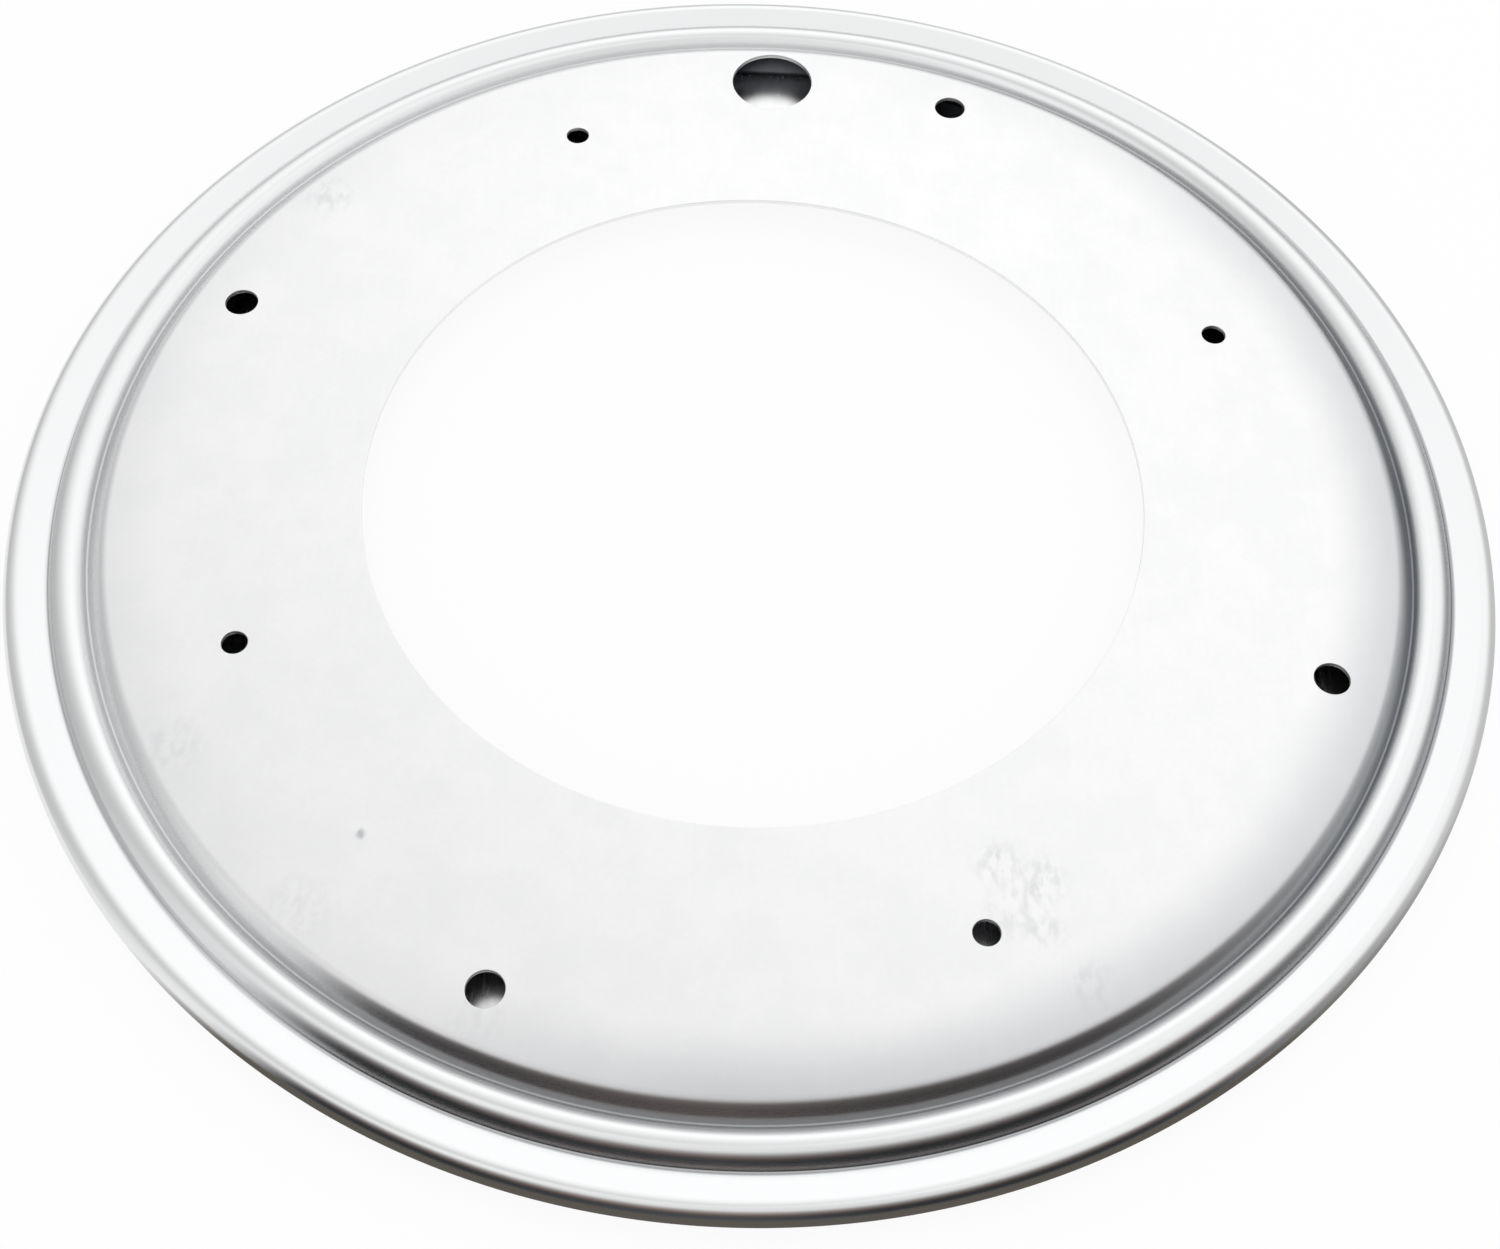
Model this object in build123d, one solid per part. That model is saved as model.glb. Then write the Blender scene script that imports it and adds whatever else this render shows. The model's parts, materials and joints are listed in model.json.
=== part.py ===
from build123d import *
import os
from math import acos, atan2, cos, degrees, radians, sin, sqrt, tan

# Lazy susan bearing: two pressed sheet-steel rings that turn on one row of loose balls.
# Millimetres, +Z up. The origin is on the turning axis, level with the underside of the lower ring.

# Whole bearing
OUTER_D = 304.8  # over the curled outer edge
SHEET = 1.0  # thickness of both rings

# Balls and their race
BALL_D = 5.556
BALL_COUNT = 54
RACE_CLEARANCE = 0.13  # ball to each half of the race
CREST_SETBACK = 0.06  # the flat of a ring stands this far proud of its bead

# Pressed section
RING_GAP = 0.4  # between the two rings on both sides of the race
FOOT_BEND = 0.4  # inside bend radius at both feet of the bead
SHOULDER_BEND = 1.5  # inside bend radius where the flat turns down
STEP_ANGLE = 39.0  # slope of the step between flat and bead
FLANGE_LENGTH = 5.2  # straight slope between the bead and the curl
HOOK_GAP = 0.4  # rim of the lower ring to the curl round it
CURL_ROOM = 0.2  # further room inside the curl

# Holes
LARGE_HOLE_D = 7.1
LARGE_HOLE_SETBACK = 9.25  # shoulder to the circle of the large holes
LARGE_HOLE_START = 69.43  # angle of the first large hole from +X
SMALL_HOLE_D = 5.2
SMALL_HOLE_STEP = 12.7  # circle of the large holes to that of the small holes
SMALL_HOLE_START = 24.43  # angle of the first small hole from +X
HOLES_PER_CIRCLE = 4
ACCESS_HOLE_D = 19.05
ACCESS_HOLE_LAND = 0.8  # shoulder to the edge of the access hole
ACCESS_HOLE_ANGLE = 90.0
BASE_HOLE_D = 5.2  # holes of the lower ring, reached through the access hole
BASE_HOLE_START = 45.0
UPPER_BORE_LAND = 28.7  # circle of the small holes to the centre hole of the upper ring
LOWER_BORE_LAND = 32.0  # circle of the base holes to the centre hole of the lower ring

# Levels of the middle of the sheet in the upper ring
HEIGHT = BALL_D + 2 * (RACE_CLEARANCE + SHEET + CREST_SETBACK)
MID_Z = HEIGHT / 2
FLAT_Z = HEIGHT - SHEET / 2
FLANGE_Z = MID_Z + RING_GAP / 2 + SHEET / 2

# Curl of the upper ring, centred at mid-height, and the rim of the lower ring inside it
RIM_DROP = RING_GAP / 2 + SHEET
HOOK_DROP = RIM_DROP + HOOK_GAP
CURL_INNER_R = HOOK_DROP + CURL_ROOM
CURL_R = CURL_INNER_R + SHEET / 2
CURL_CENTRE_R = OUTER_D / 2 - CURL_R - SHEET / 2
CURL_END = degrees(acos(HOOK_DROP / CURL_INNER_R))
RIM_END_R = CURL_CENTRE_R + sqrt((CURL_INNER_R - HOOK_GAP) ** 2 - RIM_DROP**2)

# Bends of the middle of the sheet, worked inwards from the curl
BEAD_R = BALL_D / 2 + RACE_CLEARANCE + SHEET / 2
FOOT_R = FOOT_BEND + SHEET / 2
SHOULDER_R = SHOULDER_BEND + SHEET / 2
FOOT_RISE = FLANGE_Z + FOOT_R - MID_Z
FOOT_REACH = sqrt((BEAD_R + FOOT_R) ** 2 - FOOT_RISE**2)
FOOT_ANGLE = degrees(atan2(FOOT_RISE, FOOT_REACH))
FLANGE_REACH = sqrt((FOOT_R + CURL_R) ** 2 + FLANGE_LENGTH**2 - FOOT_RISE**2)
FLANGE_SLOPE = degrees(atan2(FOOT_R + CURL_R, FLANGE_LENGTH) - atan2(FOOT_RISE, FLANGE_REACH))
BALL_CIRCLE_R = CURL_CENTRE_R - FLANGE_REACH - FOOT_REACH
STEP = radians(STEP_ANGLE)
STEP_DROP = FLAT_Z - FLANGE_Z - (SHOULDER_R + FOOT_R) * (1 - cos(STEP))
STEP_RUN = (SHOULDER_R + FOOT_R) * sin(STEP) + STEP_DROP / tan(STEP)
FLAT_END_R = BALL_CIRCLE_R - FOOT_REACH - STEP_RUN

# Hole circles
LARGE_CIRCLE_R = FLAT_END_R - LARGE_HOLE_SETBACK
SMALL_CIRCLE_R = LARGE_CIRCLE_R - SMALL_HOLE_STEP
ACCESS_CIRCLE_R = FLAT_END_R - ACCESS_HOLE_LAND - ACCESS_HOLE_D / 2
UPPER_BORE_R = SMALL_CIRCLE_R - UPPER_BORE_LAND
LOWER_BORE_R = ACCESS_CIRCLE_R - LOWER_BORE_LAND


def sheet_side(bore_r, lift, curled):
    """Lines and arcs of one side of the sheet, lift above its middle, from the bore to the rim."""
    foot_z = FLANGE_Z + FOOT_R
    flat = Line((bore_r, FLAT_Z + lift), (FLAT_END_R, FLAT_Z + lift))
    shoulder = CenterArc((FLAT_END_R, FLAT_Z - SHOULDER_R), SHOULDER_R + lift, 90, -STEP_ANGLE)
    inner_foot = CenterArc(
        (BALL_CIRCLE_R - FOOT_REACH, foot_z),
        FOOT_R - lift,
        270 - STEP_ANGLE,
        90 + STEP_ANGLE - FOOT_ANGLE,
    )
    step = Line(shoulder @ 1, inner_foot @ 0)
    bead = CenterArc((BALL_CIRCLE_R, MID_Z), BEAD_R + lift, 180 - FOOT_ANGLE, 2 * FOOT_ANGLE - 180)
    flange_slope = FLANGE_SLOPE if curled else 0
    outer_foot = CenterArc(
        (BALL_CIRCLE_R + FOOT_REACH, foot_z),
        FOOT_R - lift,
        180 + FOOT_ANGLE,
        90 - FOOT_ANGLE + flange_slope,
    )
    side = [flat, shoulder, step, inner_foot, bead, outer_foot]
    if curled:
        curl_turn = -(180 + FLANGE_SLOPE + CURL_END)
        curl = CenterArc((CURL_CENTRE_R, MID_Z), CURL_R + lift, 90 + FLANGE_SLOPE, curl_turn)
        side += [Line(outer_foot @ 1, curl @ 0), curl]
    else:
        side += [Line(outer_foot @ 1, (RIM_END_R, FLANGE_Z + lift))]
    return side


def pressed_ring(bore_r, curled):
    """A ring with its flat uppermost, made by turning the section of the sheet round the axis."""
    top = sheet_side(bore_r, SHEET / 2, curled)
    underside = sheet_side(bore_r, -SHEET / 2, curled)
    bore_edge = Line(top[0] @ 0, underside[0] @ 0)
    rim_edge = Line(top[-1] @ 1, underside[-1] @ 1)
    section = make_face(top + underside + [bore_edge, rim_edge])
    return revolve(Plane.XZ * section, Axis.Z)


def on_circle(radius, angle, z):
    """A place on a circle round the axis, the angle in degrees from +X."""
    return Pos(radius * cos(radians(angle)), radius * sin(radians(angle)), z)


def punch(ring, diameter, circle_r, start, count):
    """Cut evenly spaced round holes through the ring."""
    for k in range(count):
        angle = start + k * 360 / count
        ring -= on_circle(circle_r, angle, MID_Z) * Cylinder(diameter / 2, 2 * HEIGHT)
    return ring


def make_upper_plate():
    """The upper ring, whose edge is curled round the rim of the lower ring."""
    ring = pressed_ring(UPPER_BORE_R, curled=True)
    ring = punch(ring, LARGE_HOLE_D, LARGE_CIRCLE_R, LARGE_HOLE_START, HOLES_PER_CIRCLE)
    ring = punch(ring, SMALL_HOLE_D, SMALL_CIRCLE_R, SMALL_HOLE_START, HOLES_PER_CIRCLE)
    return punch(ring, ACCESS_HOLE_D, ACCESS_CIRCLE_R, ACCESS_HOLE_ANGLE, 1)


def make_lower_plate():
    """The lower ring, the same section upside down with a plain rim."""
    ring = mirror(pressed_ring(LOWER_BORE_R, curled=False), Plane.XY.offset(MID_Z))
    return punch(ring, BASE_HOLE_D, ACCESS_CIRCLE_R, BASE_HOLE_START, HOLES_PER_CIRCLE)


def make_ball(k):
    """One ball of the row, in the middle of the race."""
    return on_circle(BALL_CIRCLE_R, k * 360 / BALL_COUNT, MID_Z) * Sphere(BALL_D / 2)


os.makedirs("parts", exist_ok=True)
export_step(make_upper_plate(), "parts/upper_plate.step")
export_step(make_lower_plate(), "parts/lower_plate.step")
for ball in range(BALL_COUNT):
    export_step(make_ball(ball), f"parts/ball_{ball + 1:02d}.step")
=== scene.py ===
"""Looks of a lazy susan bearing: zinc-plated pressed rings and steel balls in a white studio."""
import json
from math import acos, atan2, cos, degrees, hypot, inf, pi, radians, sin, sqrt, tan

import bmesh
import bpy
from mathutils import Matrix, Vector
from mathutils.geometry import delaunay_2d_cdt


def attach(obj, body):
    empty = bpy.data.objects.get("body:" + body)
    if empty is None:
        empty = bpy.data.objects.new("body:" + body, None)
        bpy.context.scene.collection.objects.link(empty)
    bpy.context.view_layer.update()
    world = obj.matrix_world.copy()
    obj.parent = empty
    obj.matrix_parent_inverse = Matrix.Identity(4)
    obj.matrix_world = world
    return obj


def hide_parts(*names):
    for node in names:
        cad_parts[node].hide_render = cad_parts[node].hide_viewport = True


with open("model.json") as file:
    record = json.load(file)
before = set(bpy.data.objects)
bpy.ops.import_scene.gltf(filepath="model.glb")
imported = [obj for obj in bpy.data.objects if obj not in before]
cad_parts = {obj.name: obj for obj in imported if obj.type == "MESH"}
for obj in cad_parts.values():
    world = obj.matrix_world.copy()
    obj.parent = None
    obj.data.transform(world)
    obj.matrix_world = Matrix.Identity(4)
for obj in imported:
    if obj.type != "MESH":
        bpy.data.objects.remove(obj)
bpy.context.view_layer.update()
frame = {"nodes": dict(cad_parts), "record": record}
mounts = {mount["name"]: mount for mount in frame["record"]["mounts"]}

# Driving sizes of the pressed section, in metres, the same as in the solids
MM = 0.001
OUTER_D = 304.8 * MM  # over the curled outer edge
SHEET = 1.0 * MM  # thickness of both rings
BALL_D = 5.556 * MM
RACE_CLEARANCE = 0.13 * MM  # ball to each half of the race
CREST_SETBACK = 0.06 * MM  # the flat of a ring stands this far proud of its bead
RING_GAP = 0.4 * MM  # between the two rings on both sides of the race
FOOT_BEND = 0.4 * MM  # inside bend radius at both feet of the bead
SHOULDER_BEND = 1.5 * MM  # inside bend radius where the flat turns down
STEP_ANGLE = 39.0  # slope of the step between flat and bead
FLANGE_LENGTH = 5.2 * MM  # straight slope between the bead and the curl
HOOK_GAP = 0.4 * MM  # rim of the lower ring to the curl round it
CURL_ROOM = 0.2 * MM  # further room inside the curl

# The first hole of each circle, in degrees from +X; the mounts of the record give the rest
LARGE_HOLE_START = 69.43
SMALL_HOLE_START = 24.43
BASE_HOLE_START = 45.0

# The access hole, on the circle of the base holes; it is no mount
ACCESS_HOLE_R = 9.525 * MM
ACCESS_HOLE_ANGLE = 90.0

# Levels and bends of the middle of the sheet in the upper ring
HEIGHT = BALL_D + 2 * (RACE_CLEARANCE + SHEET + CREST_SETBACK)
MID_Z = HEIGHT / 2
FLAT_Z = HEIGHT - SHEET / 2
FLANGE_Z = MID_Z + RING_GAP / 2 + SHEET / 2
RIM_DROP = RING_GAP / 2 + SHEET
HOOK_DROP = RIM_DROP + HOOK_GAP
CURL_INNER_R = HOOK_DROP + CURL_ROOM
CURL_R = CURL_INNER_R + SHEET / 2
CURL_CENTRE_R = OUTER_D / 2 - CURL_R - SHEET / 2
CURL_END = degrees(acos(HOOK_DROP / CURL_INNER_R))
RIM_END_R = CURL_CENTRE_R + sqrt((CURL_INNER_R - HOOK_GAP) ** 2 - RIM_DROP**2)
BEAD_R = BALL_D / 2 + RACE_CLEARANCE + SHEET / 2
FOOT_R = FOOT_BEND + SHEET / 2
SHOULDER_R = SHOULDER_BEND + SHEET / 2
FOOT_RISE = FLANGE_Z + FOOT_R - MID_Z
FOOT_REACH = sqrt((BEAD_R + FOOT_R) ** 2 - FOOT_RISE**2)
FOOT_ANGLE = degrees(atan2(FOOT_RISE, FOOT_REACH))
FLANGE_REACH = sqrt((FOOT_R + CURL_R) ** 2 + FLANGE_LENGTH**2 - FOOT_RISE**2)
FLANGE_SLOPE = degrees(atan2(FOOT_R + CURL_R, FLANGE_LENGTH) - atan2(FOOT_RISE, FLANGE_REACH))
BALL_CIRCLE_R = CURL_CENTRE_R - FLANGE_REACH - FOOT_REACH
STEP = radians(STEP_ANGLE)
STEP_DROP = FLAT_Z - FLANGE_Z - (SHOULDER_R + FOOT_R) * (1 - cos(STEP))
STEP_RUN = (SHOULDER_R + FOOT_R) * sin(STEP) + STEP_DROP / tan(STEP)
FLAT_END_R = BALL_CIRCLE_R - FOOT_REACH - STEP_RUN
FLAT_TOP = FLAT_Z + SHEET / 2
FLAT_UNDER = FLAT_Z - SHEET / 2

# Fineness of the meshes
AROUND = 480
HOLE_AROUND = 72
SHOULDER_FACETS = 7
INNER_FOOT_FACETS = 8
BEAD_FACETS = 22
OUTER_FOOT_FACETS = 7
CURL_FACETS = 30
EDGE_FACETS = 4
SUPPORT = 0.2 * MM  # flat strip beside each bend, which keeps the shading of the flats level
EDGE_ROUND = 0.12 * MM  # worn corner of the punched edges
SHARP_ANGLE = 35.0
FILL_RINGS = 7
FILL_AROUND = 120
HOLE_CLEARANCE = 1.5 * MM  # loose points of the flat keep this far from a hole
INSIDE_TRIANGLES = 1  # the kind of result that fills what the edges enclose
JOIN_MM = 1e-5  # points of the flat this close, in millimetres, are one
WELD = 0.0001 * MM

# Material slots of a ring
OUTSIDE = 0
INSIDE = 1
FLAT_INSIDE = 2


def arc(centre, radius, start, end, count):
    """Points of an arc in the section, angles in degrees, both ends included."""
    angles = [radians(start + (end - start) * k / count) for k in range(count + 1)]
    return [(centre[0] + radius * cos(a), centre[1] + radius * sin(a)) for a in angles]


def straight(begin, end):
    """The two points that stand a support strip inside the ends of a straight run."""
    run = Vector(end) - Vector(begin)
    strip = run.normalized() * SUPPORT
    return [tuple(Vector(begin) + strip), tuple(Vector(end) - strip)]


def sheet_side(lift, curled):
    """Section points of one side of the sheet, lift above its middle, from the flat to the rim."""
    foot_z = FLANGE_Z + FOOT_R
    shoulder = arc(
        (FLAT_END_R, FLAT_Z - SHOULDER_R), SHOULDER_R + lift, 90, 90 - STEP_ANGLE, SHOULDER_FACETS
    )
    inner_foot = arc(
        (BALL_CIRCLE_R - FOOT_REACH, foot_z),
        FOOT_R - lift,
        270 - STEP_ANGLE,
        360 - FOOT_ANGLE,
        INNER_FOOT_FACETS,
    )
    bead = arc((BALL_CIRCLE_R, MID_Z), BEAD_R + lift, 180 - FOOT_ANGLE, FOOT_ANGLE, BEAD_FACETS)
    outer_foot = arc(
        (BALL_CIRCLE_R + FOOT_REACH, foot_z),
        FOOT_R - lift,
        180 + FOOT_ANGLE,
        270 + (FLANGE_SLOPE if curled else 0),
        OUTER_FOOT_FACETS,
    )
    if curled:
        rim = arc(
            (CURL_CENTRE_R, MID_Z), CURL_R + lift, 90 + FLANGE_SLOPE, -90 - CURL_END, CURL_FACETS
        )
    else:
        rim = [(RIM_END_R, FLANGE_Z + lift)]
    points = [(FLAT_END_R - SUPPORT, FLAT_Z + lift)]
    points += shoulder + straight(shoulder[-1], inner_foot[0])
    points += inner_foot[:-1] + bead + outer_foot[1:]
    return points + straight(outer_foot[-1], rim[0]) + rim


def punched_edge(radius):
    """Section points of a punched hole with worn corners, from the underside to the top."""
    foot = radius + EDGE_ROUND
    lower = arc((foot, FLAT_UNDER + EDGE_ROUND), EDGE_ROUND, 270, 180, EDGE_FACETS)
    upper = arc((foot, FLAT_TOP - EDGE_ROUND), EDGE_ROUND, 180, 90, EDGE_FACETS)
    return [(foot + SUPPORT, FLAT_UNDER)] + lower + upper + [(foot + SUPPORT, FLAT_TOP)]


def circle(centre, radius, count):
    """Evenly spaced points of a circle in the plane of the plates."""
    angles = [2 * pi * k / count for k in range(count)]
    return [(centre[0] + radius * cos(a), centre[1] + radius * sin(a)) for a in angles]


def spin(bm, section, centre, count, first_inside=inf):
    """Turn a section round an upright axis, its rows from first_inside on in the inside slot."""
    rings = [[bm.verts.new((*p, z)) for p in circle(centre, r, count)] for r, z in section]
    for row, (near, far) in enumerate(zip(rings, rings[1:])):
        for k in range(count):
            after = (k + 1) % count
            face = bm.faces.new((near[k], far[k], far[after], near[after]))
            face.material_index = INSIDE if row >= first_inside else OUTSIDE


def flat_triangles(bore_r, holes):
    """Points and triangles of the flat between the bore and the shoulder, round the holes."""
    margin = EDGE_ROUND + SUPPORT
    outer_r = FLAT_END_R - SUPPORT
    bounds = [((0.0, 0.0), bore_r + margin, AROUND)]
    bounds += [(centre, radius + margin, HOLE_AROUND) for centre, radius in holes]
    points = circle((0.0, 0.0), outer_r, AROUND)
    edges = [(k, (k + 1) % AROUND) for k in range(AROUND)]
    for centre, radius, count in bounds:
        first = len(points)
        points += circle(centre, radius, count)
        edges += [(first + k, first + (k + 1) % count) for k in range(count)]
    for ring in range(1, FILL_RINGS + 1):
        ring_r = bore_r + (outer_r - bore_r) * ring / (FILL_RINGS + 1)
        for x, y in circle((0.0, 0.0), ring_r, FILL_AROUND):
            if all(hypot(x - c[0], y - c[1]) > r + HOLE_CLEARANCE for c, r in holes):
                points.append((x, y))
    scaled = [Vector(p) / MM for p in points]
    found, _, faces, _, _, _ = delaunay_2d_cdt(scaled, edges, [], INSIDE_TRIANGLES, JOIN_MM)
    found = [p * MM for p in found]

    def kept(face):
        middle = sum((found[k] for k in face), Vector((0.0, 0.0))) / len(face)
        return all((middle - Vector(c)).length > r * cos(pi / n) for c, r, n in bounds)

    return found, [face for face in faces if kept(face)]


def make_ring(name, bore_r, holes, curled, upside_down):
    """One pressed ring as a closed mesh."""
    bm = bmesh.new()
    top = sheet_side(SHEET / 2, curled)
    underside = sheet_side(-SHEET / 2, curled)
    spin(bm, top + underside[::-1], (0.0, 0.0), AROUND, first_inside=len(top))
    spin(bm, punched_edge(bore_r), (0.0, 0.0), AROUND)
    for centre, radius in holes:
        spin(bm, punched_edge(radius), centre, HOLE_AROUND)
    points, faces = flat_triangles(bore_r, holes)
    for level, order, slot in ((FLAT_TOP, 1, OUTSIDE), (FLAT_UNDER, -1, FLAT_INSIDE)):
        corners = [bm.verts.new((*p, level)) for p in points]
        for face in faces:
            made = bm.faces.new([corners[k] for k in face][::order])
            made.material_index = slot
    bmesh.ops.remove_doubles(bm, verts=bm.verts, dist=WELD)
    if upside_down:
        for vert in bm.verts:
            vert.co.z = HEIGHT - vert.co.z
        bmesh.ops.reverse_faces(bm, faces=bm.faces)
    mesh = bpy.data.meshes.new(name)
    bm.to_mesh(mesh)
    bm.free()
    mesh.shade_smooth()
    mesh.set_sharp_from_angle(angle=radians(SHARP_ANGLE))
    ring = bpy.data.objects.new(name, mesh)
    bpy.context.scene.collection.objects.link(ring)
    return ring


def hole_circle(mount_name, start):
    """Centres and radii of the holes that a mount of the record describes."""
    dims = mounts[mount_name]["dims"]
    radius = dims["pcd_mm"] * MM / 2
    angles = [radians(start + 360 * k / dims["count"]) for k in range(dims["count"])]
    return [((radius * cos(a), radius * sin(a)), dims["hole_r_mm"] * MM) for a in angles]


# Shader nodes
WHITE = (1.0, 1.0, 1.0, 1.0)
LEVEL = (1.0, 1.0, 0.0)  # drops the height of a place
FINE_DETAIL = 2.0
CLOUD_DETAIL = 4.0
NOISE_ROUGHNESS = 0.55
MIX_COLOURS = (6, 7)  # the two colour inputs of a mix node
MIX_COLOUR_OUT = 2


def add(tree, kind, inputs=None, **settings):
    """Add a shader node, set its settings, and link or set its inputs by name or number."""
    node = tree.nodes.new(kind)
    for key, value in settings.items():
        setattr(node, key, value)
    for key, value in (inputs or {}).items():
        if isinstance(value, bpy.types.NodeSocket):
            tree.links.new(value, node.inputs[key])
        else:
            node.inputs[key].default_value = value
    return node


def maths(tree, operation, *values):
    """Output of a maths node."""
    return add(tree, "ShaderNodeMath", dict(enumerate(values)), operation=operation).outputs[0]


def vector_maths(tree, operation, *values):
    """A vector worked out from vectors."""
    node = add(tree, "ShaderNodeVectorMath", dict(enumerate(values)), operation=operation)
    return node.outputs["Vector"]


def vector_number(tree, operation, *values):
    """A number worked out from vectors."""
    node = add(tree, "ShaderNodeVectorMath", dict(enumerate(values)), operation=operation)
    return node.outputs["Value"]


def ease(tree, value, span, low=0.0, high=1.0):
    """A smooth step from low to high as value goes through the span."""
    inputs = {"Value": value, "From Min": span[0], "From Max": span[1], "To Min": low, "To Max": high}
    node = add(tree, "ShaderNodeMapRange", inputs, interpolation_type="SMOOTHSTEP")
    return node.outputs["Result"]


def noise(tree, place, scale, detail, roughness=NOISE_ROUGHNESS):
    """Noise in the range 0 to 1 at a place."""
    inputs = {"Vector": place, "Scale": scale, "Detail": detail, "Roughness": roughness}
    return add(tree, "ShaderNodeTexNoise", inputs).outputs["Fac"]


def blend_colours(tree, share, first, second):
    """Mix of two colours."""
    inputs = {"Factor": share, MIX_COLOURS[0]: first, MIX_COLOURS[1]: second}
    return add(tree, "ShaderNodeMix", inputs, data_type="RGBA").outputs[MIX_COLOUR_OUT]


def new_material(name):
    """An empty node material, its nodes, its output and the place on the piece in metres."""
    material = bpy.data.materials.new(name)
    material.use_nodes = True
    tree = material.node_tree
    tree.nodes.clear()
    output = tree.nodes.new("ShaderNodeOutputMaterial").inputs["Surface"]
    return material, tree, output, tree.nodes.new("ShaderNodeTexCoord").outputs["Object"]


def parts_of(tree, vector):
    """X, Y and Z of a vector."""
    return add(tree, "ShaderNodeSeparateXYZ", {"Vector": vector}).outputs


def axis_distance(tree, place):
    """Distance of a place from the turning axis."""
    return vector_number(tree, "LENGTH", vector_maths(tree, "MULTIPLY", place, LEVEL))


def set_stops(ramp, colours):
    """Give a colour ramp its stops, from pairs of position and colour."""
    stops = ramp.color_ramp.elements
    stops.remove(stops[1])
    stops[0].position = colours[0][0]
    for k, (position, colour) in enumerate(colours):
        stop = stops.new(position) if k else stops[0]
        stop.color = (*colour, 1.0)


def turn_levels(tree, place, levels):
    """Grey level at a place, from pairs of degrees round the axis from -X and level."""
    split = parts_of(tree, place)
    angle = maths(tree, "ARCTAN2", split["Y"], split["X"])
    turn = maths(tree, "MULTIPLY_ADD", angle, 1 / (2 * pi), 0.5)
    ramp = add(tree, "ShaderNodeValToRGB", {"Fac": turn})
    set_stops(ramp, [(degree / 360, (level, level, level)) for degree, level in levels])
    return ramp.outputs["Color"]


def metal_surface(tree, output, inputs):
    """End a material in a metal shader with these inputs."""
    shader = add(tree, "ShaderNodeBsdfPrincipled", {"Metallic": 1.0, **inputs})
    tree.links.new(shader.outputs["BSDF"], output)


# Handling marks on the flat of the upper ring: x and y of the middle, reach, depth
SCUFFS = (
    (48.0 * MM, -86.0 * MM, 7.0 * MM, 0.3),
    (55.0 * MM, -89.0 * MM, 7.0 * MM, 0.34),
    (51.0 * MM, -95.0 * MM, 8.0 * MM, 0.25),
    (55.0 * MM, -98.0 * MM, 6.0 * MM, 0.28),
    (63.0 * MM, -108.5 * MM, 7.0 * MM, 0.2),
    (-100.0 * MM, 76.5 * MM, 8.0 * MM, 0.24),
    (-77.5 * MM, -100.0 * MM, 9.0 * MM, 0.14),
    (-107.0 * MM, -68.5 * MM, 9.0 * MM, 0.16),
    (-43.0 * MM, -119.0 * MM, 8.0 * MM, 0.12),
    (-69.0 * MM, -85.3 * MM, 1.6 * MM, 0.8),
)
SCUFF_CORE = 0.2  # share of the reach over which a mark is at its full depth
SCUFF_STRETCH = (560.0, 260.0, 1.0)
SCUFF_NOISE_ROUGHNESS = 0.6
SCUFF_BREAKS = (0.4, 0.66)


def scuffs(tree, place):
    """Share of broken, patchy handling marks at a place on the flat."""
    marks = 0.0
    for x, y, reach, depth in SCUFFS:
        away = vector_number(tree, "DISTANCE", place, (x, y, FLAT_TOP))
        near = ease(tree, away, (SCUFF_CORE * reach, reach), depth, 0.0)
        marks = maths(tree, "MAXIMUM", marks, near)
    stretched = vector_maths(tree, "MULTIPLY", place, SCUFF_STRETCH)
    patches = noise(tree, stretched, 1.0, FINE_DETAIL, SCUFF_NOISE_ROUGHNESS)
    return maths(tree, "MULTIPLY", marks, ease(tree, patches, SCUFF_BREAKS))


# Painted shade on the step and beside the bead, by the distance from the axis
INNER_CREASE_R = BALL_CIRCLE_R - FOOT_REACH
OUTER_CREASE_R = BALL_CIRCLE_R + FOOT_REACH
STEP_PAINTED_SHADE = 0.8
STEP_PAINTED_SHADE_RISE = (FLAT_END_R + 0.6 * MM, FLAT_END_R + 2.6 * MM)
CREASE_PAINTED_SHADE = 0.85
CREASE_PAINTED_SHADE_FALL = (0.3 * MM, 1.0 * MM)  # either way from the inner crease
INNER_PAINTED_SHADE_FALL = (INNER_CREASE_R + 0.5 * MM, INNER_CREASE_R + 1.2 * MM)
OUTER_PAINTED_SHADE = 0.75
OUTER_PAINTED_SHADE_RISE = (OUTER_CREASE_R - 3.0 * MM, OUTER_CREASE_R - 1.4 * MM)
OUTER_PAINTED_SHADE_FALL = (OUTER_CREASE_R + 0.1 * MM, OUTER_CREASE_R + 0.6 * MM)

# The painted shade is stronger on some sides of the ring: share by degrees round the axis from -X
PAINTED_SHADE_LEVELS = (
    (0, 0.28),
    (35, 0.1),
    (48, 0.2),
    (64, 0.65),
    (90, 0.7),
    (135, 0.85),
    (180, 1.0),
    (225, 0.5),
    (270, 0.08),
    (315, 0.1),
    (360, 0.28),
)


def painted_crease_shade(tree, place, radius, from_crease):
    """Share of painted shade on the step and in the creases at both feet of the bead."""
    step = ease(tree, radius, STEP_PAINTED_SHADE_RISE, 0.0, STEP_PAINTED_SHADE)
    crease = ease(tree, from_crease, CREASE_PAINTED_SHADE_FALL, CREASE_PAINTED_SHADE, 0.0)
    inner = maths(tree, "MAXIMUM", step, crease)
    inner = maths(tree, "MULTIPLY", inner, ease(tree, radius, INNER_PAINTED_SHADE_FALL, 1.0, 0.0))
    outer = ease(tree, radius, OUTER_PAINTED_SHADE_RISE, 0.0, OUTER_PAINTED_SHADE)
    outer = maths(tree, "MULTIPLY", outer, ease(tree, radius, OUTER_PAINTED_SHADE_FALL, 1.0, 0.0))
    both = maths(tree, "MAXIMUM", inner, outer)
    return maths(tree, "MULTIPLY", both, turn_levels(tree, place, PAINTED_SHADE_LEVELS))
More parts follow.
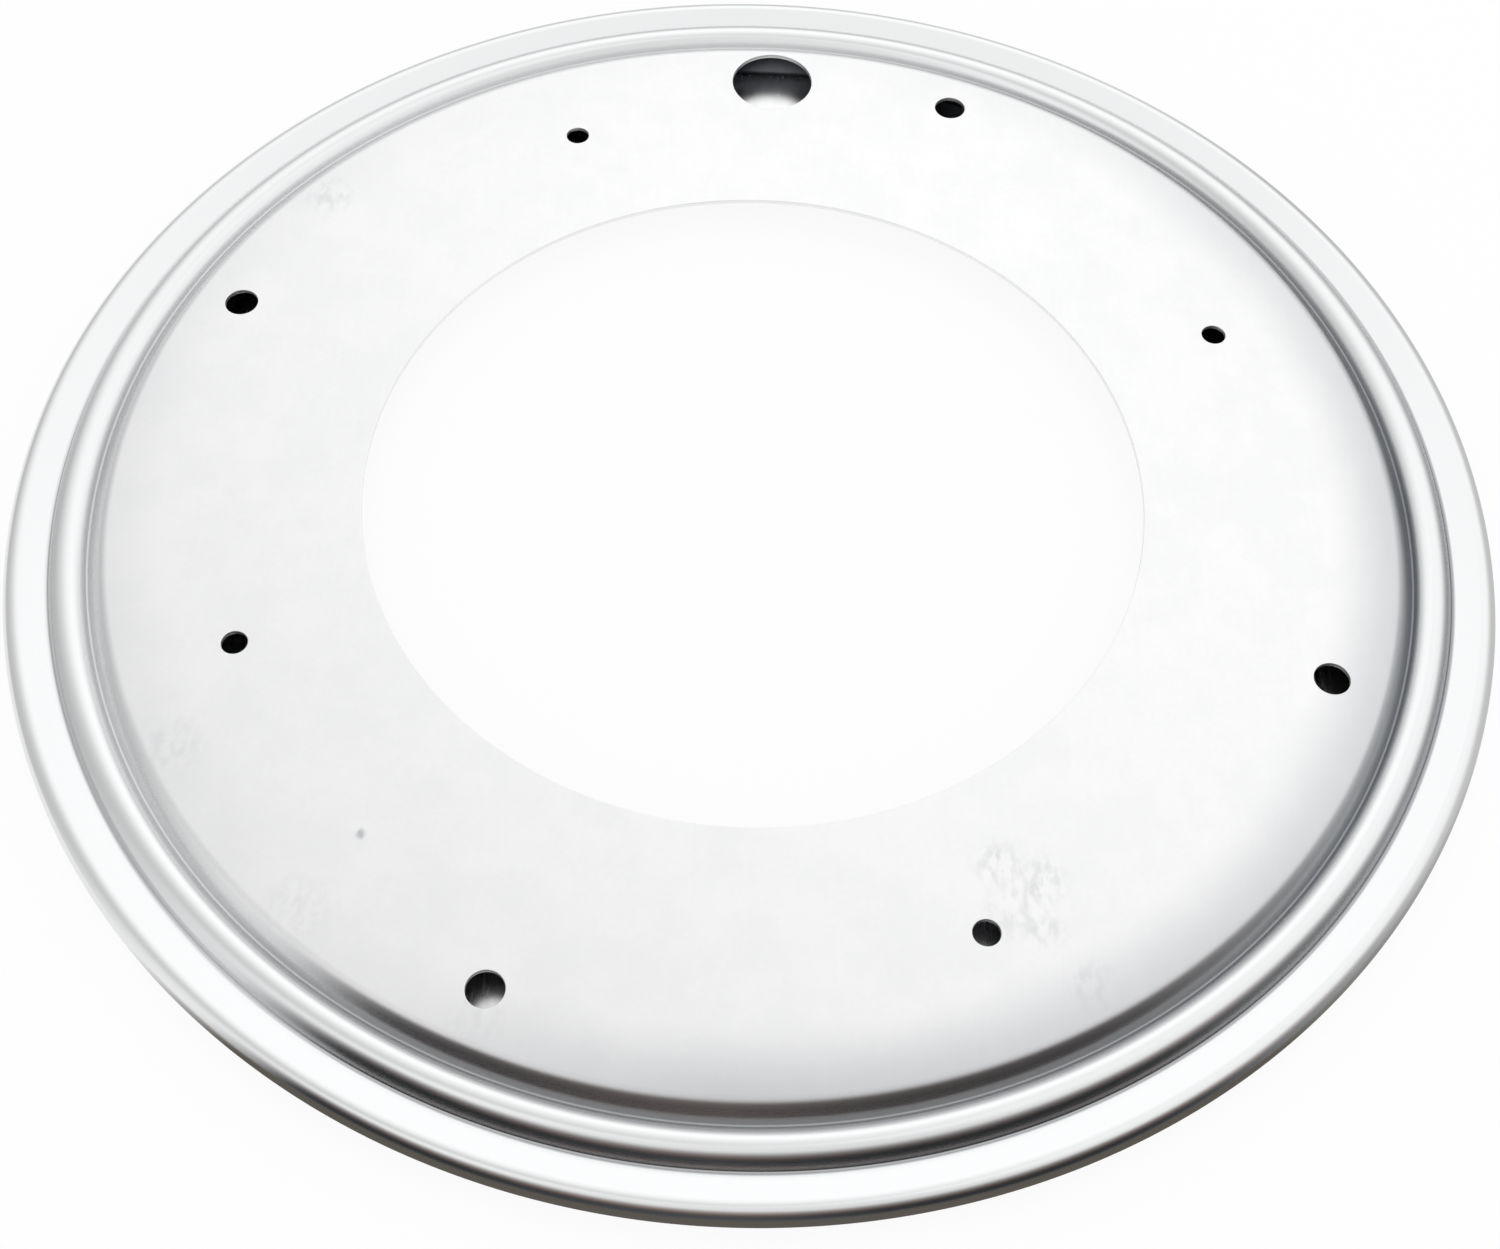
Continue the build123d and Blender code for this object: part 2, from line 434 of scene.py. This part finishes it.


# Painted shade: the flat grows darker towards the step, more on some sides of the ring: share by
# degrees round the axis from -X
FLAT_PAINTED_SHADE_RISE = (FLAT_END_R - 14.0 * MM, FLAT_END_R + 2.0 * MM)
FLAT_PAINTED_SHADE_LEVELS = (
    (0, 0.2),
    (60, 0.08),
    (90, 0.7),
    (125, 0.6),
    (180, 0.6),
    (215, 0.35),
    (245, 0.1),
    (270, 0.0),
    (315, 0.08),
    (360, 0.2),
)

# Zinc plate: colours
ZINC_DARK = (0.868, 0.871, 0.876, 1.0)
ZINC_LIGHT = (0.905, 0.906, 0.908, 1.0)
ZINC_RIM = (0.79, 0.795, 0.80, 1.0)
# grey of worn handling marks, and of the painted shade on the flat towards the step
WORN_AND_SHADE_GREY = (0.5, 0.51, 0.53, 1.0)
# dark colour painted in as shade on the step and in the creases beside the bead
PAINTED_SHADE_COLOUR = (0.2, 0.213, 0.228, 1.0)

# Zinc plate: patterns
BURNISH_RISE = (FLAT_END_R, FLAT_END_R + 3.0 * MM)
MOTTLE_SCALE = 70.0
GRAIN_SCALE = 900.0
GRAIN_SHARE = 0.25
CLOUD_RISE = (0.45, 0.8)
STREAK_STRETCH = (1100.0, 70.0, 1.0)
LINE_SCALE = 2200.0  # drawing lines that run round the formed rim

# Zinc plate: roughness, and what each pattern adds to it
FLAT_ROUGHNESS = 0.4
INSIDE_ROUGHNESS = 0.22
RIM_ROUGHNESS = 0.16
STREAK_ROUGHNESS = 0.1
MOTTLE_ROUGHNESS = 0.08
SCUFF_ROUGHNESS = 0.15
LINE_ROUGHNESS = 0.1
PAINTED_SHADE_ROUGHNESS = 0.1
VALLEY_ROUGHNESS = 0.25
VALLEY_FALL = (0.5 * MM, 1.4 * MM)  # either way from the inner crease

# Zinc plate: relief
STREAK_RELIEF = 0.5
SCUFF_RELIEF = -1.5
BUMP_STRENGTH = 0.25
BUMP_DEPTH = 0.03 * MM


def zinc_material(name, flat_roughness):
    """Satin zinc plating: mottled and scuffed on the flat, burnished where the sheet was formed, with
    painted shade on the step, in the creases beside the bead and on the flat towards the step.
    """
    material, tree, output, place = new_material(name)
    radius = axis_distance(tree, place)
    height = parts_of(tree, place)["Z"]
    from_crease = maths(tree, "ABSOLUTE", maths(tree, "SUBTRACT", radius, INNER_CREASE_R))
    burnish = ease(tree, radius, BURNISH_RISE)
    valley = ease(tree, from_crease, VALLEY_FALL, VALLEY_ROUGHNESS, 0.0)
    painted_shade = painted_crease_shade(tree, place, radius, from_crease)
    marks = scuffs(tree, place)

    mottle = noise(tree, place, MOTTLE_SCALE, CLOUD_DETAIL)
    grain = noise(tree, place, GRAIN_SCALE, FINE_DETAIL)
    streak = noise(tree, vector_maths(tree, "MULTIPLY", place, STREAK_STRETCH), 1.0, FINE_DETAIL)
    across = add(tree, "ShaderNodeCombineXYZ", {"X": radius, "Y": height}).outputs["Vector"]
    lines = noise(tree, across, LINE_SCALE, FINE_DETAIL)

    cloud = ease(tree, maths(tree, "MULTIPLY_ADD", grain, GRAIN_SHARE, mottle), CLOUD_RISE)
    colour = blend_colours(tree, cloud, ZINC_DARK, ZINC_LIGHT)
    colour = blend_colours(tree, marks, colour, WORN_AND_SHADE_GREY)
    # painted shade: the flat darkens towards the step, more on some sides
    flat_painted_shade = ease(tree, radius, FLAT_PAINTED_SHADE_RISE)
    flat_painted_shade = maths(tree, "MULTIPLY", flat_painted_shade, turn_levels(tree, place, FLAT_PAINTED_SHADE_LEVELS))
    colour = blend_colours(tree, flat_painted_shade, colour, WORN_AND_SHADE_GREY)
    colour = blend_colours(tree, burnish, colour, ZINC_RIM)
    # painted shade on the step and in the creases beside the bead
    colour = blend_colours(tree, painted_shade, colour, PAINTED_SHADE_COLOUR)

    flat_base = flat_roughness - STREAK_ROUGHNESS / 2
    flat_rough = maths(tree, "MULTIPLY_ADD", streak, STREAK_ROUGHNESS, flat_base)
    flat_rough = maths(tree, "MULTIPLY_ADD", mottle, MOTTLE_ROUGHNESS, flat_rough)
    flat_rough = maths(tree, "MULTIPLY_ADD", marks, SCUFF_ROUGHNESS, flat_rough)
    rim_rough = maths(tree, "MULTIPLY_ADD", lines, LINE_ROUGHNESS, RIM_ROUGHNESS)
    rim_rough = maths(tree, "MULTIPLY_ADD", painted_shade, PAINTED_SHADE_ROUGHNESS, rim_rough)
    rim_rough = maths(tree, "ADD", rim_rough, valley)
    roughs = {"Factor": burnish, "A": flat_rough, "B": rim_rough}
    rough = add(tree, "ShaderNodeMix", roughs).outputs["Result"]

    relief = maths(tree, "MULTIPLY_ADD", streak, STREAK_RELIEF, mottle)
    relief = maths(tree, "MULTIPLY_ADD", marks, SCUFF_RELIEF, relief)
    bumps = {"Strength": BUMP_STRENGTH, "Distance": BUMP_DEPTH, "Height": relief}
    normal = add(tree, "ShaderNodeBump", bumps).outputs["Normal"]
    metal_surface(tree, output, {"Base Color": colour, "Roughness": rough, "Normal": normal})
    return material


# Oiled zinc, also painted dark as shade between the rings
OIL_AND_SHADE_DARK = (0.10, 0.106, 0.12, 1.0)
OIL_AND_SHADE_LIGHT = (0.16, 0.166, 0.18, 1.0)
OILED_ROUGHNESS = 0.34
FILM_SCALE = 60.0
FILM_RISE = (0.3, 0.7)
FILM_ROUGHNESS = 0.12
OIL_AND_SHADE_RISE = (91.0 * MM, 95.0 * MM)  # distance from the axis


def oil_and_shade_material():
    """Zinc inside the bearing, darkened by an uneven film of oil and by painted shade between the
    rings, and clean near the centre hole.
    """
    material, tree, output, place = new_material("zinc_oil_and_painted_shade")
    film = ease(tree, noise(tree, place, FILM_SCALE, CLOUD_DETAIL), FILM_RISE)
    colour = blend_colours(tree, film, OIL_AND_SHADE_DARK, OIL_AND_SHADE_LIGHT)
    # painted shade between the rings: dark beyond this distance from the axis, clean zinc nearer the
    # centre hole
    spread = ease(tree, axis_distance(tree, place), OIL_AND_SHADE_RISE)
    colour = blend_colours(tree, spread, ZINC_DARK, colour)
    rough = maths(tree, "MULTIPLY_ADD", film, FILM_ROUGHNESS, OILED_ROUGHNESS)
    metal_surface(tree, output, {"Base Color": colour, "Roughness": rough})
    return material


# Ball steel
STEEL_DARK = (0.52, 0.53, 0.55, 1.0)
STEEL_LIGHT = (0.62, 0.63, 0.65, 1.0)
STEEL_ROUGHNESS = 0.06
TRACK_SCALE = 1500.0
TRACK_ROUGHNESS = 0.08


def ball_material():
    """Polished bearing steel with faint rolling tracks."""
    material, tree, output, place = new_material("ball_steel")
    tracks = noise(tree, place, TRACK_SCALE, FINE_DETAIL)
    colour = blend_colours(tree, tracks, STEEL_DARK, STEEL_LIGHT)
    rough = maths(tree, "MULTIPLY_ADD", tracks, TRACK_ROUGHNESS, STEEL_ROUGHNESS)
    metal_surface(tree, output, {"Base Color": colour, "Roughness": rough})
    return material


def make_rings():
    """Both rings, each in the place of its solid."""
    zinc = zinc_material("zinc_plate", FLAT_ROUGHNESS)
    clean_zinc = zinc_material("zinc_inside", INSIDE_ROUGHNESS)
    oil_and_shade_zinc = oil_and_shade_material()
    base_holes = hole_circle("base_holes", BASE_HOLE_START)
    upper_holes = hole_circle("upper_large_holes", LARGE_HOLE_START)
    upper_holes += hole_circle("upper_small_holes", SMALL_HOLE_START)
    access_r = mounts["base_holes"]["dims"]["pcd_mm"] * MM / 2
    access_turn = radians(ACCESS_HOLE_ANGLE)
    upper_holes.append(((access_r * cos(access_turn), access_r * sin(access_turn)), ACCESS_HOLE_R))
    upper_bore = mounts["upper_centre_hole"]["dims"]["r_mm"] * MM
    lower_bore = mounts["lower_centre_hole"]["dims"]["r_mm"] * MM
    upper = make_ring("upper_ring", upper_bore, upper_holes, curled=True, upside_down=False)
    lower = make_ring("lower_ring", lower_bore, base_holes, curled=False, upside_down=True)
    for ring, node, body, flat_inside in (
        (upper, "upper_plate", "turntable", oil_and_shade_zinc),
        (lower, "lower_plate", "base", clean_zinc),
    ):
        for material in (zinc, oil_and_shade_zinc, flat_inside):
            ring.data.materials.append(material)
        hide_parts(node)
        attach(ring, body)


def dress_balls():
    """Give the solids of the balls their steel."""
    steel = ball_material()
    for name, node in frame["nodes"].items():
        if name.startswith("ball_"):
            node.data.materials.clear()
            node.data.materials.append(steel)


# Floor
FLOOR_HALF = 4.0
FLOOR_DROP = 0.05 * MM
FLOOR_COLOUR = (0.95, 0.95, 0.95, 1.0)
FLOOR_GLOW = 0.9  # how far it shows as plain white, where the rest keeps the shadow


def glow_material(name):
    """A new material whose glow is met by reflections and bounces, not sampled as a lamp."""
    material, tree, output, place = new_material(name)
    material.cycles.emission_sampling = "NONE"
    return material, tree, output, place


def seen_directly(tree):
    """1 for camera, glossy and transmission rays, which show the white background."""
    path = tree.nodes.new("ShaderNodeLightPath").outputs
    shiny = maths(tree, "MAXIMUM", path["Is Glossy Ray"], path["Is Transmission Ray"])
    return maths(tree, "MAXIMUM", path["Is Camera Ray"], shiny)


def mix_surfaces(tree, output, share, first, second):
    """End a material in a mix of two shaders."""
    mixed = add(tree, "ShaderNodeMixShader", {0: share, 1: first.outputs[0], 2: second.outputs[0]})
    tree.links.new(mixed.outputs["Shader"], output)


def floor_material():
    """White floor that keeps a faint shadow."""
    material, tree, output, _ = glow_material("studio_floor")
    diffuse = add(tree, "ShaderNodeBsdfDiffuse", {"Color": FLOOR_COLOUR})
    glow = add(tree, "ShaderNodeEmission", {"Color": WHITE, "Strength": 1.0})
    share = maths(tree, "MULTIPLY", seen_directly(tree), FLOOR_GLOW)
    mix_surfaces(tree, output, share, diffuse, glow)
    return material


def make_floor():
    """A wide floor just under the bearing."""
    mesh = bpy.data.meshes.new("floor")
    corners = [(-1, -1), (1, -1), (1, 1), (-1, 1)]
    places = [(x * FLOOR_HALF, y * FLOOR_HALF, -FLOOR_DROP) for x, y in corners]
    mesh.from_pydata(places, [], [(0, 1, 2, 3)])
    floor = bpy.data.objects.new("floor", mesh)
    bpy.context.scene.collection.objects.link(floor)
    mesh.materials.append(floor_material())


# Room: shape
STUDIO_AROUND = 96
ROOM_R = 1.2
ROOM_FACETS = 24
ROOM_TOP = 89.5  # degrees up, where the room all but closes

# Room: light
ROOM_GLOW = 1.33
BRIGHT_WAY = (0.02, 0.84, 0.54)  # the room is brightest high up behind the bearing
BRIGHT_POWER = 2.5
BRIGHT_RISE = (0.1, 0.65)  # sine of the elevation over which that brightness sets in
SIDE_LOSS = 0.1

# Brightness of the rest of the room by degrees round the axis from -X
ROOM_LEVELS = (
    (0, 0.48),
    (22, 0.75),
    (42, 0.85),
    (58, 0.7),
    (90, 0.7),
    (120, 0.64),
    (140, 0.65),
    (160, 0.75),
    (180, 0.8),
    (230, 0.75),
    (250, 0.5),
    (270, 0.45),
    (300, 0.5),
    (325, 0.46),
    (360, 0.48),
)


def room_material():
    """A room that is bright behind the bearing and dimmer to the sides."""
    material, tree, output, place = glow_material("studio_room")
    way = vector_maths(tree, "NORMALIZE", place)
    split = parts_of(tree, way)
    ahead = vector_number(tree, "DOT_PRODUCT", way, BRIGHT_WAY)
    sideways = maths(tree, "ABSOLUTE", split["X"])
    reach = maths(tree, "MULTIPLY_ADD", sideways, -SIDE_LOSS, ahead)
    share = maths(tree, "POWER", maths(tree, "MAXIMUM", reach, 0.0), BRIGHT_POWER)
    share = maths(tree, "MULTIPLY", share, ease(tree, split["Z"], BRIGHT_RISE))
    colour = blend_colours(tree, share, turn_levels(tree, place, ROOM_LEVELS), WHITE)
    glow = add(tree, "ShaderNodeEmission", {"Color": colour, "Strength": ROOM_GLOW})
    tree.links.new(glow.outputs["Emission"], output)
    return material


# Card: shape
CARD_INNER_R = OUTER_D / 2 - 0.3 * MM
CARD_R = 0.22
CARD_BEND = 0.03
CARD_FACETS = 8
CARD_TOP = 0.22

# Card: share, height and shade by degrees round the axis from -X
CARD_SHARES = ((44, 0.0), (54, 1.0), (130, 1.0), (160, 0.4), (225, 0.4), (240, 0.0))
CARD_HEIGHTS = ((125, 1.0), (165, 0.4), (240, 0.4))
CARD_LEVELS = ((50, 0.35), (70, 0.45), (90, 1.0), (104, 0.4), (122, 0.4), (140, 1.0))

# Card: where it fades out, where its shade sets in, and its colours from the bottom to the top
CARD_FADE = (0.04, CARD_TOP)
SHADE_RISE = (0.0, 0.02)
CARD_COLOURS = (
    (0.0, (0.125, 0.115, 0.1)),
    (0.07, (0.085, 0.092, 0.098)),
    (0.14, (0.07, 0.08, 0.088)),
    (0.24, (0.105, 0.083, 0.078)),
    (0.34, (0.17, 0.1, 0.08)),
    (0.6, (0.2, 0.13, 0.11)),
)


def card_material():
    """Dark card close in front, which the formed rim mirrors, fading out at its ends and top."""
    material, tree, output, place = glow_material("studio_card")
    height = parts_of(tree, place)["Z"]
    reach = maths(tree, "DIVIDE", height, turn_levels(tree, place, CARD_HEIGHTS))
    fade = ease(tree, reach, CARD_FADE, 1.0, 0.0)
    share = maths(tree, "MULTIPLY", turn_levels(tree, place, CARD_SHARES), fade)
    ramp = add(tree, "ShaderNodeValToRGB", {"Fac": maths(tree, "DIVIDE", height, CARD_TOP)})
    set_stops(ramp, CARD_COLOURS)
    shade = turn_levels(tree, place, CARD_LEVELS)
    shade = blend_colours(tree, ease(tree, height, SHADE_RISE), WHITE, shade)
    colour = vector_maths(tree, "MULTIPLY", ramp.outputs["Color"], shade)
    glow = add(tree, "ShaderNodeEmission", {"Color": colour, "Strength": 1.0})
    mix_surfaces(tree, output, share, tree.nodes.new("ShaderNodeBsdfTransparent"), glow)
    return material


def stage_piece(name, section, material):
    """A piece of the studio turned from a section, out of the camera's sight."""
    bm = bmesh.new()
    spin(bm, section, (0.0, 0.0), STUDIO_AROUND)
    mesh = bpy.data.meshes.new(name)
    bm.to_mesh(mesh)
    bm.free()
    piece = bpy.data.objects.new(name, mesh)
    bpy.context.scene.collection.objects.link(piece)
    mesh.materials.append(material)
    piece.visible_camera = False
    return piece


def make_studio():
    """The room round the bearing, and the card that only reflections see."""
    stage_piece("room", arc((0.0, 0.0), ROOM_R, 0, ROOM_TOP, ROOM_FACETS), room_material())
    bend = arc((CARD_R - CARD_BEND, CARD_BEND), CARD_BEND, 270, 360, CARD_FACETS)
    section = [(CARD_INNER_R, 0.0)] + bend + [(CARD_R, CARD_TOP)]
    card = stage_piece("card", section, card_material())
    card.visible_diffuse = False
    card.visible_shadow = False


def make_world():
    """Plain white beyond the floor."""
    world = bpy.data.worlds.new("studio")
    bpy.context.scene.world = world
    world.use_nodes = True
    tree = world.node_tree
    tree.nodes.clear()
    background = add(tree, "ShaderNodeBackground", {"Color": WHITE, "Strength": 1.0})
    output = tree.nodes.new("ShaderNodeOutputWorld")
    tree.links.new(background.outputs["Background"], output.inputs["Surface"])


# Photograph and camera
PHOTO_W = 1500
FOCAL_PX = 1906
SENSOR_W = 36.0
CLIP_START = 0.01
CAMERA_PLACE = Vector((0.0018, -0.2410, 0.3222))
CAMERA_TARGET = Vector((0.0005, -0.0360, 0.0079))
CAMERA_ROLL = -2.12
UP = Vector((0.0, 0.0, 1.0))


def make_camera():
    """The photograph's view."""
    data = bpy.data.cameras.new("camera")
    data.sensor_width = SENSOR_W
    data.lens = SENSOR_W * FOCAL_PX / PHOTO_W
    data.clip_start = CLIP_START
    camera = bpy.data.objects.new("camera", data)
    bpy.context.scene.collection.objects.link(camera)
    ahead = (CAMERA_TARGET - CAMERA_PLACE).normalized()
    right = ahead.cross(UP).normalized()
    above = right.cross(ahead)
    roll = radians(CAMERA_ROLL)
    x_axis = cos(roll) * right - sin(roll) * above
    y_axis = sin(roll) * right + cos(roll) * above
    axes = Matrix((x_axis, y_axis, -ahead)).transposed()
    camera.matrix_world = Matrix.Translation(CAMERA_PLACE) @ axes.to_4x4()
    bpy.context.scene.camera = camera


make_rings()
dress_balls()
make_floor()
make_studio()
make_world()
make_camera()
bpy.context.scene.view_settings.view_transform = "Standard"
